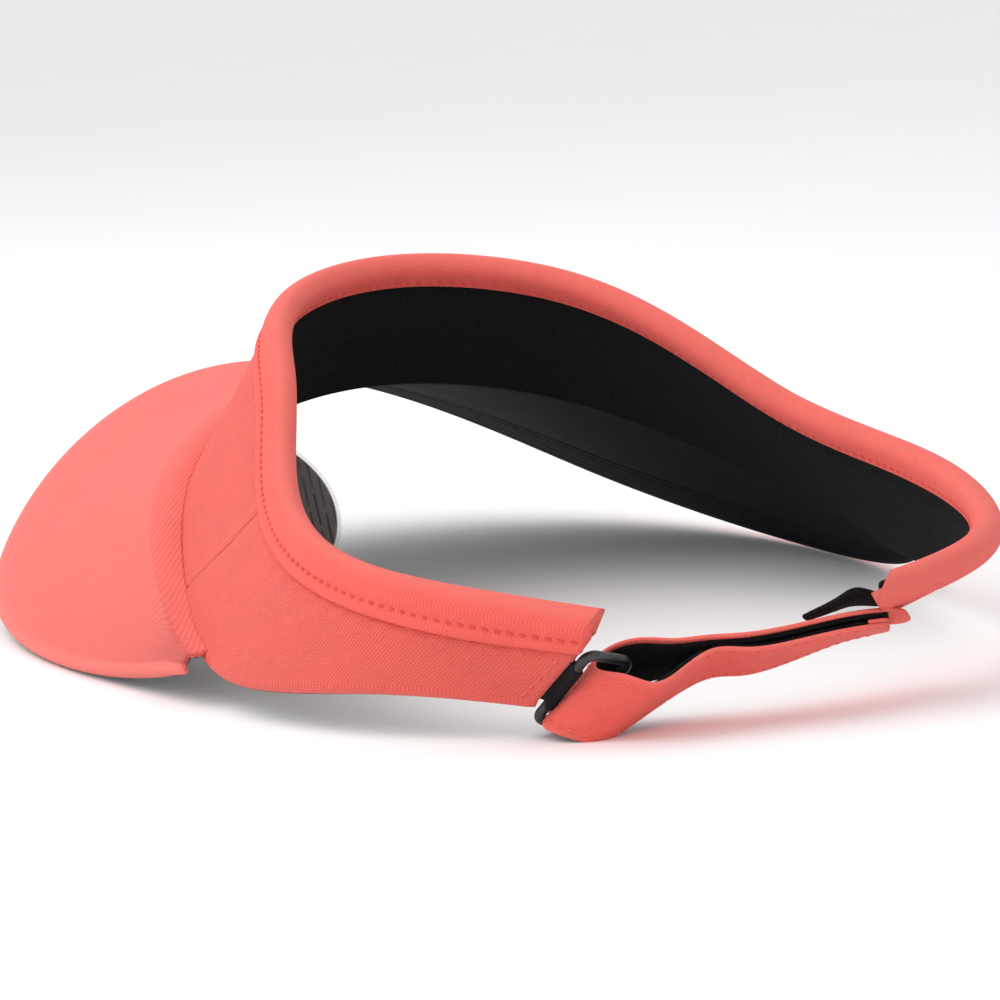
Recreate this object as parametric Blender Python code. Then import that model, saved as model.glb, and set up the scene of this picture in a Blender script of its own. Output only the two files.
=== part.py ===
# Sun visor with a curved brim and a hook-and-loop strap that turns back through a rectangular ring.
# Tables are in millimetres in the wearer's frame: Z is the head's axis, the brim points to -Y and the
# wearer's left is +X. One empty then lays that frame on the table, brim sides and strap loop down.

import math

import bmesh
import bpy
import numpy as np
from mathutils import Matrix, Vector

MM = 0.001

# Head band: its two edges at stations round the head, from the left end over the front to the right end.
# Each row is upper edge angle, radius, height, then lower edge angle, radius, height. 0 degrees is front.
BAND_STATIONS = (
    (153.0, 91.5, 17.5, 147.5, 86.5, 0.5),
    (125.0, 79.0, 19.6, 125.0, 86.5, 1.2),
    (100.0, 68.5, 23.5, 100.0, 85.0, -3.0),
    (75.0, 61.0, 31.5, 75.0, 80.5, 1.8),
    (50.0, 62.5, 43.5, 50.0, 84.8, 11.2),
    (25.0, 77.5, 53.2, 25.0, 96.0, 22.6),
    (0.0, 86.5, 56.5, 0.0, 101.8, 27.7),
    (-25.0, 77.5, 52.6, -25.0, 96.7, 23.0),
    (-50.0, 64.0, 42.0, -50.0, 87.0, 11.8),
    (-75.0, 61.0, 30.7, -75.0, 80.0, 3.4),
    (-100.0, 66.5, 25.5, -100.0, 75.5, 0.3),
    (-125.0, 77.0, 23.3, -119.0, 78.3, 6.0),
    (-150.0, 90.5, 20.8, -142.5, 80.4, 11.8),
    (-171.5, 92.0, 18.0, -163.5, 82.5, 11.4),
)
LAST_STATION = len(BAND_STATIONS) - 1
FRONT_STATION = 6
STATION_ANGLE = 25.0
BAND_START = 0.08
BINDING_START = 0.03

# Outer edge of the brim: angle, radius, height, from the front to the temple on either side.
BRIM_EDGE = ((0.0, 177.8, 19.8), (28.7, 155.1, -5.4), (55.4, 115.3, -13.7), (78.4, 92.3, -8.4))
BRIM_TEMPLE = 95.6
BRIM_END = 91.0

CLEARANCE = 0.3
CLOTH = 1.0
FOAM = 0.7
LINING = 1.0
LAYER_STEP = CLOTH + CLEARANCE
BAND_HALF = 1.5 * CLOTH + CLEARANCE

BINDING_CLOTH = 0.8
BINDING_RADIUS = BAND_HALF + CLEARANCE + BINDING_CLOTH / 2
BINDING_OUTER_LEG = 6.0
BINDING_INNER_LEG = 3.3

BOARD = 1.6
BRIM_CLOTH = 0.8
BRIM_STEP = BOARD / 2 + CLEARANCE + BRIM_CLOTH / 2
BRIM_HALF = BRIM_STEP + BRIM_CLOTH / 2
BRIM_SETBACK = BAND_HALF + CLEARANCE + 0.1
BOARD_INSET = 0.016
BOARD_SIDE = 1.4
BRIM_LIP = 0.012

# Seams between the front panel and the side panels slope: station at the lower and at the upper edge.
SEAM_LOWER = 3.18
SEAM_UPPER = 2.62
SEAM_GAP = 0.010

# Padding behind the side cloth ends this many stations past the seam, and starts beyond the keeper.
PADDING_PAST = 0.9
PADDING_GAP = 0.01
KEEPER_MARGIN = 0.03

# Ring: its inner bar lies along the left end of the band and its reach points to the strap.
RING_BAR_AXIS = (-0.28, 0.60, 0.75)
RING_REACH = (-0.953, -0.086, -0.288)
RING_INNER_BAR = (44.6, 75.5, 4.6)
RING_LENGTH = 18.6
RING_WIDTH = 9.4
RING_CORNER = 1.9
RING_WIRE = 2.0

# Strap: sewn to the right end, round the ring's outer bar and back as the closure tab.
# Each row is the upper edge, then the lower edge, as x, y, z.
STRAP_LAID = (
    (-18.0, 88.0, 13.4, -26.4, 76.6, 7.0),
    (-7.4, 90.4, 14.4, -13.5, 77.3, 8.0),
    (3.5, 90.8, 14.0, -2.3, 77.8, 6.5),
    (13.3, 89.5, 13.4, 8.3, 76.9, 4.8),
    (20.0, 86.6, 13.2, 16.6, 74.6, 4.0),
)
STRAP_LOOP = (
    (25.0, 83.0, 12.5, 24.8, 71.2, 2.2),
    (29.6, 79.5, 12.6, 32.4, 68.4, 0.6),
    (34.0, 76.8, 11.4, 38.4, 67.0, -0.8),
    (38.2, 77.2, 9.4, 42.2, 68.6, -1.8),
    (39.6, 80.8, 8.4, 45.0, 72.8, -2.8),
    (37.4, 85.4, 8.4, 43.8, 77.0, -3.4),
    (34.2, 88.2, 7.2, 40.0, 79.2, -4.6),
    (29.6, 89.6, 7.6, 32.8, 78.6, -3.4),
)
STRAP_CLOTH = 0.8
PILE = 0.6
PILE_MARGIN = 0.04
PILE_STEP = STRAP_CLOTH / 2 + CLEARANCE + PILE / 2
CLOSED_STEP = 2 * PILE_STEP + PILE + CLEARANCE
HINGE_GAP = 0.06
HINGE_STATION = 4.0
TAB_TIP = 0.05
TAB_HEM = 0.55

# Keeper: a tape folded round the ring's inner bar, its two plies sewn into the left end of the band.
KEEPER_CLOTH = 0.35
KEEPER_DEPTH = 0.55
KEEPER_PLY = 0.22
KEEPER_HEIGHT = 0.36
KEEPER_RADIUS = RING_WIRE / 2 + 3 * CLEARANCE + KEEPER_CLOTH / 2
KEEPER_HALF_WIDTH = 5.8

# Tongue: a soft flap that comes out between lining and shell at the right end and tapers along the strap.
# Each free row is the upper edge, then the lower edge, as x, y, z.
TONGUE_CLOTH = 0.9
TONGUE_ROOT_HEIGHTS = (0.80, 0.06)
TONGUE_FREE = (
    (-10.7, 88.0, 17.9, -16.6, 78.9, 12.8),
    (-6.4, 88.3, 16.8, -10.6, 80.9, 13.2),
    (-1.8, 88.0, 15.2, -4.3, 83.4, 13.1),
    (0.4, 86.7, 13.9, -1.2, 84.7, 13.0),
)

# Size label: a clear oval film that touches the lining at the left temple and curls in from there.
# Each row is the film's middle as x, y, z and the direction of its height.
LABEL_FILM = 0.3
LABEL_ROOT_STATION = 3.52
LABEL_HALF_HEIGHT = 15.0
LABEL_CURL = (
    (54.8, -34.5, 18.0, -0.12, 0.05, 0.99),
    (49.5, -31.5, 18.0, 0.06, -0.27, 0.96),
    (42.5, -24.8, 18.0, 0.06, -0.27, 0.96),
)
LABEL_SIDES = 28

# The visor at rest: the wearer's frame tips back and is lifted until the lowest points touch the table.
REST_TILT = math.radians(4.0)
REST_SHIFT = (0.12, 40.45, 10.43)

BAND_COLUMNS = 66
BRIM_COLUMNS = 30
BRIM_ROWS = 5
TAB_COLUMNS = 10
LAID_COLUMNS = 12

CORAL = (0.86, 0.115, 0.090)
INK = (0.011, 0.012, 0.014)
SLATE = (0.020, 0.026, 0.032)


def clear_scene():
    for obj in list(bpy.data.objects):
        bpy.data.objects.remove(obj, do_unlink=True)


def finish_material(name, colour, roughness, metallic=0.0, alpha=1.0):
    material = bpy.data.materials.new(name)
    material.use_nodes = True
    shader = material.node_tree.nodes["Principled BSDF"]
    shader.inputs["Base Color"].default_value = (*colour, 1.0)
    shader.inputs["Roughness"].default_value = roughness
    shader.inputs["Metallic"].default_value = metallic
    shader.inputs["Alpha"].default_value = alpha
    return material


def smooth_through(values, at):
    """Natural cubic spline through rows of values at 0, 1, 2 and so on, read at the numbers in at."""
    values = np.asarray(values, float)
    count = len(values)
    system = np.eye(count)
    pull = np.zeros_like(values)
    for row in range(1, count - 1):
        system[row, row - 1 : row + 2] = (1, 4, 1)
        pull[row] = 6 * (values[row - 1] - 2 * values[row] + values[row + 1])
    bend = np.linalg.solve(system, pull)
    at = np.asarray(at, float)
    low = np.clip(np.floor(at).astype(int), 0, count - 2)
    t = (at - low)[..., None]
    s = 1 - t
    return s * values[low] + t * values[low + 1] + ((s**3 - s) * bend[low] + (t**3 - t) * bend[low + 1]) / 6


def round_head(angle, radius, height):
    turn = math.radians(angle)
    return (radius * math.sin(turn), -radius * math.cos(turn), height)


UPPER_EDGE = [round_head(*row[:3]) for row in BAND_STATIONS]
LOWER_EDGE = [round_head(*row[3:]) for row in BAND_STATIONS]


def unit(vectors):
    return vectors / np.linalg.norm(vectors, axis=-1, keepdims=True)


class Ribbon:
    """A ruled strip between an upper and a lower edge, with normals towards its outer face."""

    def __init__(self, upper, lower):
        self.upper = np.asarray(upper, float)
        self.lower = np.asarray(lower, float)

    def point(self, station, height, offset=0.0):
        """Points at a station, at a height from 0 (lower edge) to 1 (upper), lifted off by offset."""
        station, height = np.broadcast_arrays(np.asarray(station, float), np.asarray(height, float))
        middle = self.on_strip(station, height)
        return middle + offset * self.normal(station, height)

    def on_strip(self, station, height):
        high = smooth_through(self.upper, station)
        low = smooth_through(self.lower, station)
        return low + height[..., None] * (high - low)

    def normal(self, station, height):
        step = 0.02
        along = self.on_strip(station + step, height) - self.on_strip(station - step, height)
        return unit(np.cross(self.ruling(station), along))

    def ruling(self, station):
        return smooth_through(self.upper, station) - smooth_through(self.lower, station)


BAND = Ribbon(UPPER_EDGE, LOWER_EDGE)
LAID = Ribbon([row[:3] for row in STRAP_LAID], [row[3:] for row in STRAP_LAID])


def finish_object(name, mesh, material, parent):
    """Turns a closed bmesh into a named object with outward faces."""
    bmesh.ops.recalc_face_normals(mesh, faces=mesh.faces)
    data = bpy.data.meshes.new(name)
    mesh.to_mesh(data)
    mesh.free()
    data.materials.append(material)
    data.shade_smooth()
    data.set_sharp_from_angle(angle=math.radians(50))
    obj = bpy.data.objects.new(name, data)
    bpy.context.scene.collection.objects.link(obj)
    obj.parent = parent
    return obj


def place_origin(obj, origin):
    """Moves the object's origin to a point of the wearer's frame without moving its shape."""
    shift = Vector(origin) * MM
    obj.data.transform(Matrix.Translation(-shift))
    obj.location = shift


def solid_between(name, inner, outer, material, parent):
    """Closed solid between two grids of points that face each other, inner behind outer."""
    rows, columns = inner.shape[:2]
    mesh = bmesh.new()
    behind = [[mesh.verts.new(point * MM) for point in row] for row in inner]
    front = [[mesh.verts.new(point * MM) for point in row] for row in outer]
    for row in range(rows - 1):
        for column in range(columns - 1):
            for grid in (behind, front):
                mesh.faces.new((grid[row][column], grid[row][column + 1],
                                grid[row + 1][column + 1], grid[row + 1][column]))
    rim = [(0, column, 0, column + 1) for column in range(columns - 1)]
    rim += [(rows - 1, column, rows - 1, column + 1) for column in range(columns - 1)]
    rim += [(row, 0, row + 1, 0) for row in range(rows - 1)]
    rim += [(row, columns - 1, row + 1, columns - 1) for row in range(rows - 1)]
    for row_a, column_a, row_b, column_b in rim:
        mesh.faces.new((behind[row_a][column_a], behind[row_b][column_b],
                        front[row_b][column_b], front[row_a][column_a]))
    return finish_object(name, mesh, material, parent)


def layer(name, ribbon, stations, heights, offset, thickness, material, parent):
    """One cloth layer on a ribbon, centred at an offset from its middle."""
    station, height = np.meshgrid(stations, heights)
    inner = ribbon.point(station, height, offset - thickness / 2)
    outer = ribbon.point(station, height, offset + thickness / 2)
    return solid_between(name, inner, outer, material, parent)


def columns_between(first, last, density=BAND_COLUMNS / LAST_STATION):
    return np.linspace(first, last, max(3, round(abs(last - first) * density) + 1))


def shell_panel(name, left, right, material, parent):
    """Outer cloth between two sloping seams, each given as its lower and its upper station."""
    heights = np.linspace(0, 1, 4)
    count = len(columns_between(left[0], right[1]))
    along = np.linspace(0, 1, count)
    start = left[0] + (left[1] - left[0]) * heights
    stop = right[0] + (right[1] - right[0]) * heights
    station = start[:, None] + along[None, :] * (stop - start)[:, None]
    height = np.repeat(heights[:, None], count, axis=1)
    inner = BAND.point(station, height, LAYER_STEP - CLOTH / 2)
    outer = BAND.point(station, height, LAYER_STEP + CLOTH / 2)
    return solid_between(name, inner, outer, material, parent)


def build_band(coral, ink, foam, parent):
    seam_left = (SEAM_LOWER, SEAM_UPPER)
    seam_right = (LAST_STATION - 1 - SEAM_LOWER, LAST_STATION - 1 - SEAM_UPPER)
    shell_panel("left_side_panel", (BAND_START, BAND_START),
                [seam - SEAM_GAP for seam in seam_left], coral, parent)
    shell_panel("front_panel", [seam + SEAM_GAP for seam in seam_left],
                [seam - SEAM_GAP for seam in seam_right], coral, parent)
    shell_panel("right_side_panel", [seam + SEAM_GAP for seam in seam_right],
                (LAST_STATION, LAST_STATION), coral, parent)
    heights = np.linspace(0, 1, 3)
    foam_start = KEEPER_DEPTH + KEEPER_MARGIN
    foam_stop = LAST_STATION - KEEPER_DEPTH
    side = SEAM_UPPER + PADDING_PAST
    for name, first, last in (
        ("left_padding", foam_start, side - PADDING_GAP),
        ("front_stiffener", side + PADDING_GAP, LAST_STATION - 1 - side - PADDING_GAP),
        ("right_padding", LAST_STATION - 1 - side + PADDING_GAP, foam_stop),
    ):
        layer(name, BAND, columns_between(first, last), heights, 0, FOAM, foam, parent)
    layer("sweatband", BAND, columns_between(BAND_START, LAST_STATION), np.linspace(0, 1, 4),
          -LAYER_STEP, LINING, ink, parent)


def build_binding(coral, parent):
    """Tape folded over the upper edge, as a U: a long outer leg, a round top and a short inner leg."""
    stations = columns_between(BINDING_START, LAST_STATION)
    arc = [math.radians(angle) for angle in (0, 30, 60, 90, 120, 150, 180)]
    fold = [(BINDING_RADIUS, -BINDING_OUTER_LEG)]
    fold += [(BINDING_RADIUS * math.cos(angle), BINDING_RADIUS * math.sin(angle)) for angle in arc]
    fold += [(-BINDING_RADIUS, -BINDING_INNER_LEG)]
    high = BAND.point(stations, np.ones_like(stations))
    out = BAND.normal(stations, np.ones_like(stations))
    up = unit(BAND.ruling(stations))
    grids = []
    for shift in (-BINDING_CLOTH / 2, BINDING_CLOTH / 2):
        scale = (BINDING_RADIUS + shift) / BINDING_RADIUS
        rows = []
        for across, lift in fold:
            lift_scale = scale if lift > 0 else 1
            rows.append(high + out * across * scale + up * lift * lift_scale)
        grids.append(np.array(rows))
    solid_between("edge_binding", grids[0], grids[1], coral, parent)


def brim_edge(side, angles):
    """Points on the brim's outer edge; side is 1 on the wearer's left and -1 on the right."""
    station = FRONT_STATION - side * BRIM_TEMPLE / STATION_ANGLE
    temple = BAND.point(station, 0.0, BRIM_SETBACK + BRIM_HALF)
    knots = [row[0] for row in BRIM_EDGE] + [BRIM_TEMPLE]
    radii = [row[1] for row in BRIM_EDGE] + [float(np.hypot(temple[0], temple[1]))]
    heights = [row[2] for row in BRIM_EDGE] + [float(temple[2])]
    mirrored = [[-knot for knot in knots[:0:-1]] + knots]
    mirrored += [radii[:0:-1] + radii]
    mirrored += [heights[:0:-1] + heights]
    index = np.interp(angles, mirrored[0], range(len(mirrored[0])))
    index = refine_index(mirrored[0], angles, index)
    read = smooth_through(np.array(mirrored[1:]).T, index)
    turn = np.radians(angles)
    return np.stack([side * read[:, 0] * np.sin(turn), -read[:, 0] * np.cos(turn), read[:, 1]], -1)


def refine_index(knots, angles, index):
    """Station numbers at which the smooth curve through the knots reads the wanted angles."""
    for _ in range(8):
        read = smooth_through(np.array(knots)[:, None], index)[:, 0]
        slope = smooth_through(np.array(knots)[:, None], index + 0.01)[:, 0] - read
        index = index - 0.01 * (read - angles) / slope
    return index


def brim_surface(columns, rows, side=0.0, lip=0.0):
    """Grid over the brim from band (row 0) to edge (last row), and its upward normals. It stops
    side degrees before the brim's ends, and lip (a share of its depth) before its edge."""
    angles = np.linspace(-BRIM_END + side, BRIM_END - side, columns)
    left = brim_edge(1, np.abs(angles))
    right = brim_edge(-1, np.abs(angles))
    edge = np.where((angles > 0)[:, None], left, right)
    station = FRONT_STATION - angles / STATION_ANGLE
    across = np.linspace(0, 1 - lip, rows)
    band_normal = BAND.normal(station, np.zeros(columns))
    facing = np.ones(columns)
    for _ in range(3):
        setback = BRIM_SETBACK + BRIM_HALF * facing
        inner = BAND.point(station, np.zeros(columns)) + setback[:, None] * band_normal
        grid = inner[None] + across[:, None, None] * (edge - inner)[None]
        along = np.gradient(grid, axis=1)
        out = np.gradient(grid, axis=0)
        normal = unit(np.cross(along, out))
        normal *= np.sign(normal[..., 2:3])
        facing = np.abs(np.sum(normal[0] * band_normal, axis=-1))
    return grid, normal


def build_brim(coral, slate, board, parent):
    for name, step, thickness, side, lip, material in (
        ("brim_board", 0, BOARD, BOARD_SIDE, BOARD_INSET, board),
        ("brim_top_cover", BRIM_STEP, BRIM_CLOTH, 0, 0, coral),
        ("brim_under_cover", -BRIM_STEP, BRIM_CLOTH, 0, BRIM_LIP, slate),
    ):
        grid, normal = brim_surface(BRIM_COLUMNS, BRIM_ROWS, side, lip)
        inner = grid + normal * (step - thickness / 2)
        outer = grid + normal * (step + thickness / 2)
        solid_between(name, inner, outer, material, parent)


def ring_frame():
    """Middle of the inner bar, the bar's direction and the ring's reach."""
    bar = unit(np.array(RING_BAR_AXIS))
    reach = np.array(RING_REACH)
    reach = unit(reach - bar * reach.dot(bar))
    return np.array(RING_INNER_BAR), bar, reach


def build_ring(metal, parent):
    middle, bar, reach = ring_frame()
    path = []
    for corner, (along, across) in enumerate(((-1, 1), (1, 1), (1, 0), (-1, 0))):
        centre_along = along * (RING_LENGTH / 2 - RING_CORNER)
        centre_across = RING_WIDTH - RING_CORNER if across else RING_CORNER
        first = math.radians((180, 90, 0, 270)[corner])
        for step in range(4):
            angle = first - math.radians(30) * step
            path.append((centre_along + RING_CORNER * math.cos(angle),
                         centre_across + RING_CORNER * math.sin(angle)))
    curve = bpy.data.curves.new("buckle_ring", "CURVE")
    curve.dimensions = "3D"
    curve.bevel_depth = RING_WIRE / 2 * MM
    curve.bevel_resolution = 2
    spline = curve.splines.new("POLY")
    spline.use_cyclic_u = True
    spline.points.add(len(path) - 1)
    for point, (along, across) in zip(spline.points, path):
        point.co = (*((bar * along + reach * across) * MM), 1.0)
    curve.materials.append(metal)
    ring = bpy.data.objects.new("buckle_ring", curve)
    bpy.context.scene.collection.objects.link(ring)
    ring.location = Vector(middle) * MM
    ring.parent = parent


def build_keeper(ink, parent):
    """Tape from inside the left end, round the ring's inner bar and back inside."""
    middle, bar, _ = ring_frame()
    outward = BAND.point(BAND_START, KEEPER_HEIGHT) - BAND.point(KEEPER_DEPTH, KEEPER_HEIGHT)
    outward = unit(outward - bar * outward.dot(bar))
    normal = np.cross(outward, bar)
    plies = []
    for side in (1, -1):
        stations = np.linspace(KEEPER_DEPTH, BAND_START - 0.035, 4)
        high, low = [], []
        for station in stations:
            centre = BAND.point(station, KEEPER_HEIGHT, side * KEEPER_PLY)
            rise = unit(BAND.ruling(station))
            high.append(centre + rise * KEEPER_HALF_WIDTH)
            low.append(centre - rise * KEEPER_HALF_WIDTH)
        plies.append((high, low))
    arc_high, arc_low = [], []
    for angle in np.radians(np.linspace(95, -95, 8)):
        spot = middle + KEEPER_RADIUS * (outward * math.cos(angle) + normal * math.sin(angle))
        arc_high.append(spot + bar * KEEPER_HALF_WIDTH)
        arc_low.append(spot - bar * KEEPER_HALF_WIDTH)
    high = plies[0][0] + arc_high + plies[1][0][::-1]
    low = plies[0][1] + arc_low + plies[1][1][::-1]
    tape = Ribbon(high, low)
    station = np.arange(len(high), dtype=float)
    inner = tape.point(station[None].repeat(2, 0), np.array([[0.0], [1.0]]), -KEEPER_CLOTH / 2)
    outer = tape.point(station[None].repeat(2, 0), np.array([[0.0], [1.0]]), KEEPER_CLOTH / 2)
    solid_between("ring_keeper", inner, outer, ink, parent)


def strap_path():
    """The whole strap up to the tab's hinge: laid stretch, then the loop round the ring's outer bar."""
    turn_back = [LAID.point(HINGE_STATION - step, [1.0, 0.0], CLOSED_STEP)
                 for step in (0.0, 1.0)]
    back_upper = [tuple(pair[0]) for pair in turn_back]
    back_lower = [tuple(pair[1]) for pair in turn_back]
    upper = [row[:3] for row in STRAP_LAID + STRAP_LOOP] + back_upper
    lower = [row[3:] for row in STRAP_LAID + STRAP_LOOP] + back_lower
    return Ribbon(upper, lower)


def build_strap(coral, ink, parent, hinge):
    path = strap_path()
    last = len(STRAP_LAID) + len(STRAP_LOOP)
    laid = np.linspace(0, HINGE_STATION, LAID_COLUMNS)
    stations = np.concatenate([laid, np.arange(HINGE_STATION + 0.5, last - 0.1, 0.5)])
    stations = np.append(stations, last - HINGE_GAP)
    across = np.linspace(0, 1, 3)
    pile = np.linspace(PILE_MARGIN, 1 - PILE_MARGIN, 3)
    layer("strap_cloth", path, stations, across, 0, STRAP_CLOTH, coral, parent)
    layer("strap_loop_pile", path, stations, pile, PILE_STEP, PILE, ink, parent)
    tab = np.linspace(TAB_TIP, HINGE_STATION - HINGE_GAP, TAB_COLUMNS)
    cloth = layer("closure_tab", LAID, tab, across, CLOSED_STEP, STRAP_CLOTH, coral, parent)
    hook = layer("tab_hook_tape", LAID, np.linspace(TAB_HEM, tab[-1], TAB_COLUMNS - 1), pile,
                 CLOSED_STEP - PILE_STEP, PILE, ink, parent)
    hem = layer("tab_tip_hem", LAID, np.linspace(TAB_TIP, TAB_HEM - HINGE_GAP, 3), across,
                CLOSED_STEP - PILE_STEP, PILE, coral, parent)
    for piece in (cloth, hook, hem):
        place_origin(piece, hinge)


def tab_hinge():
    """A point on the line where the tab bends away from the loop."""
    return LAID.point(HINGE_STATION, 0.5, CLOSED_STEP)


def build_tongue(ink, parent):
    """Soft flap: a root between lining and shell, then a free part that narrows to a tip."""
    roots = np.linspace(LAST_STATION - KEEPER_DEPTH + KEEPER_MARGIN, LAST_STATION, 4)
    high, low = TONGUE_ROOT_HEIGHTS
    upper = [BAND.point(station, high) for station in roots] + [np.array(row[:3]) for row in TONGUE_FREE]
    lower = [BAND.point(station, low) for station in roots] + [np.array(row[3:]) for row in TONGUE_FREE]
    stations = np.arange(0, len(upper) - 0.9, 0.5)
    layer("comfort_tongue", Ribbon(upper, lower), stations, np.linspace(0, 1, 3), 0, TONGUE_CLOTH, ink, parent)


def label_ribbon():
    """Strip that the oval film is cut from: its first ruling lies just inside the lining."""
    inside = -(LAYER_STEP + LINING / 2 + CLEARANCE + LABEL_FILM)
    root = BAND.point(LABEL_ROOT_STATION, [0.85, 0.15], inside)
    upper, lower = [root[0]], [root[1]]
    for row in LABEL_CURL:
        middle = np.array(row[:3])
        rise = LABEL_HALF_HEIGHT * unit(np.array(row[3:]))
        upper.append(middle + rise)
        lower.append(middle - rise)
    return Ribbon(upper, lower)


def build_label(film, parent):
    """Oval film: rings of points on the strip, front and back, joined round the outer ring."""
    strip = label_ribbon()
    angle = np.linspace(0, 2 * math.pi, LABEL_SIDES, endpoint=False)
    mesh = bmesh.new()
    sheets = []
    for offset in (-LABEL_FILM / 2, LABEL_FILM / 2):
        rings = []
        for share in (0.5, 1.0):
            station = len(LABEL_CURL) * (0.5 + share / 2 * np.cos(angle))
            points = strip.point(station, 0.5 + share / 2 * np.sin(angle), offset)
            rings.append([mesh.verts.new(point * MM) for point in points])
        middle = mesh.verts.new(strip.point(len(LABEL_CURL) / 2, 0.5, offset) * MM)
        sheets.append((middle, rings))
    for side in range(LABEL_SIDES):
        ahead = (side + 1) % LABEL_SIDES
        for middle, (near, far) in sheets:
            mesh.faces.new((middle, near[side], near[ahead]))
            mesh.faces.new((near[side], far[side], far[ahead], near[ahead]))
        back, front = sheets[0][1][1], sheets[1][1][1]
        mesh.faces.new((back[side], back[ahead], front[ahead], front[side]))
    finish_object("size_label", mesh, film, parent)


def main():
    clear_scene()
    coral = finish_material("coral_knit", CORAL, 0.62)
    ink = finish_material("black_mesh", INK, 0.8)
    slate = finish_material("slate_cloth", SLATE, 0.7)
    foam = finish_material("grey_foam", (0.32, 0.32, 0.33), 0.9)
    board = finish_material("brim_plastic", (0.72, 0.73, 0.74), 0.45)
    metal = finish_material("dark_ring", (0.045, 0.047, 0.050), 0.38, 0.6)
    film = finish_material("clear_film", (0.85, 0.86, 0.87), 0.12, alpha=0.35)
    rest = bpy.data.objects.new("rest_frame", None)
    rest.rotation_euler = (-REST_TILT, 0, 0)
    rest.location = Vector(REST_SHIFT) * MM
    bpy.context.scene.collection.objects.link(rest)
    build_band(coral, ink, foam, rest)
    build_binding(coral, rest)
    build_brim(coral, slate, board, rest)
    build_ring(metal, rest)
    build_keeper(ink, rest)
    build_strap(coral, ink, rest, tab_hinge())
    build_tongue(ink, rest)
    build_label(film, rest)


main()
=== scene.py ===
import math

import bmesh
import bpy
import numpy as np
from mathutils import Matrix, Vector, noise


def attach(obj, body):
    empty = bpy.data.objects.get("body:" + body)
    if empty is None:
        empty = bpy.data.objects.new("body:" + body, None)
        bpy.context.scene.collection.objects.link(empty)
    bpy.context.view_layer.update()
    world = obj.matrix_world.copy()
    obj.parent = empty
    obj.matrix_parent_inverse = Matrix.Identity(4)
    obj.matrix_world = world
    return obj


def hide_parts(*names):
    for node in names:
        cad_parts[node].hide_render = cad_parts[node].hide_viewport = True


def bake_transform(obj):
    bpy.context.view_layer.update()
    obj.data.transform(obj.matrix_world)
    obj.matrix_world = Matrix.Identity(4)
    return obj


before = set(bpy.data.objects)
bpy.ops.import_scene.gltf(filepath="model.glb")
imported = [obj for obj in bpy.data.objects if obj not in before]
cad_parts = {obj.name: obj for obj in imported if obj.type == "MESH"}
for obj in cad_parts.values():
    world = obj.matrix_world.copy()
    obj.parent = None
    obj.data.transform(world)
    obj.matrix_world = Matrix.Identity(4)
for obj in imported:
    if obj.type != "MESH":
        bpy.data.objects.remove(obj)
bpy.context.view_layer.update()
print("frame loaded")

# Everything is laid out in the wearer's frame in millimetres and then set down on the table.
# Z is the head's axis, the brim points to -Y, the wearer's left (the ring's side) is +X.
lay = {"tiltBack": 4.0, "shift": (0.12, 40.45, 10.43)}
tilt = math.radians(lay["tiltBack"])


def turned(vectors):
    v = np.asarray(vectors, float)
    c, s = math.cos(tilt), math.sin(tilt)
    return np.stack([v[..., 0], v[..., 1] * c + v[..., 2] * s, v[..., 2] * c - v[..., 1] * s], -1)


def onTable(points):
    return (turned(points) + np.array(lay["shift"])) * 0.001


# camera first
look = {"azimuth": 151.97, "elevation": 12.1, "roll": -1.09, "distance": 722.6, "aim": (0, 0, 25),
        "lens": 127.6, "shiftX": -0.0794, "shiftY": -0.0251}


def placeCamera():
    az, el, roll = (math.radians(look[k]) for k in ("azimuth", "elevation", "roll"))
    back = np.array([math.cos(el) * math.sin(az), -math.cos(el) * math.cos(az), math.sin(el)])
    flatRight = np.array([math.cos(az), math.sin(az), 0.0])
    flatUp = np.cross(back, flatRight)
    right = flatRight * math.cos(roll) + flatUp * math.sin(roll)
    up = flatUp * math.cos(roll) - flatRight * math.sin(roll)
    spot = onTable(np.array(look["aim"]) + look["distance"] * back)
    axes = [turned(a) for a in (right, up, back)]
    camera = bpy.data.objects.new("camera", bpy.data.cameras.new("camera"))
    camera.data.lens = look["lens"]
    camera.data.sensor_width = 36
    camera.data.shift_x = look["shiftX"]
    camera.data.shift_y = look["shiftY"]
    camera.data.clip_start = 0.02
    columns = (*axes, spot)
    camera.matrix_world = Matrix([[column[i] for column in columns] for i in range(3)] + [[0, 0, 0, 1]])
    bpy.context.scene.collection.objects.link(camera)
    bpy.context.scene.camera = camera


placeCamera()
print("camera set")


# curves and strips
def curveThrough(values, at):  # natural cubic through rows at 0, 1, 2 ...
    values = np.asarray(values, float)
    n = len(values)
    system = np.eye(n)
    pull = np.zeros_like(values)
    for i in range(1, n - 1):
        system[i, i - 1:i + 2] = (1, 4, 1)
        pull[i] = 6 * (values[i - 1] - 2 * values[i] + values[i + 1])
    bend = np.linalg.solve(system, pull)
    at = np.asarray(at, float)
    low = np.clip(np.floor(at).astype(int), 0, n - 2)
    t = (at - low)[..., None]
    s = 1 - t
    return s * values[low] + t * values[low + 1] + ((s**3 - s) * bend[low] + (t**3 - t) * bend[low + 1]) / 6


def unit(v):
    return v / np.linalg.norm(v, axis=-1, keepdims=True)


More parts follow.
